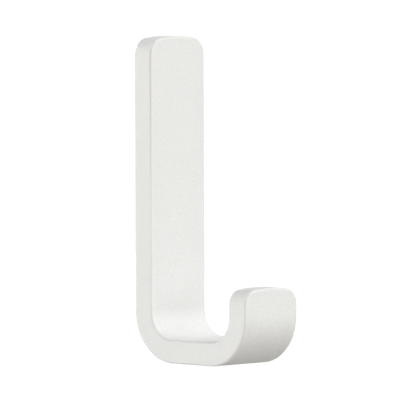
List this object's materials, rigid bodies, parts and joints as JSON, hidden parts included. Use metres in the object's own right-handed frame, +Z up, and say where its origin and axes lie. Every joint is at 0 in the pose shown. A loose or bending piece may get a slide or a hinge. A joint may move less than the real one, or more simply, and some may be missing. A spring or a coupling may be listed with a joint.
{
  "type": "wall hook",
  "caption": "J-shaped wall hook: a flat bar, a little narrower at the tip, with crowned, rounded ends and soft edges, white powder coated, fixed from behind by hidden threads.",
  "frame": {"origin": "on the flat back that lies against the wall, midway between the two threaded holes, on the hook's middle plane", "axes": "+Y points out of the back into the wall, so the hook stands out towards -Y; +Z is up along the plate; +X is across the bar"},
  "size_m": [0.02, 0.041, 0.0855],
  "materials": {
    "powder_coat": "matt white fine-textured powder coat"
  },
  "bodies": {
    "root": {"hook": "powder_coat"}
  },
  "joints": []
}
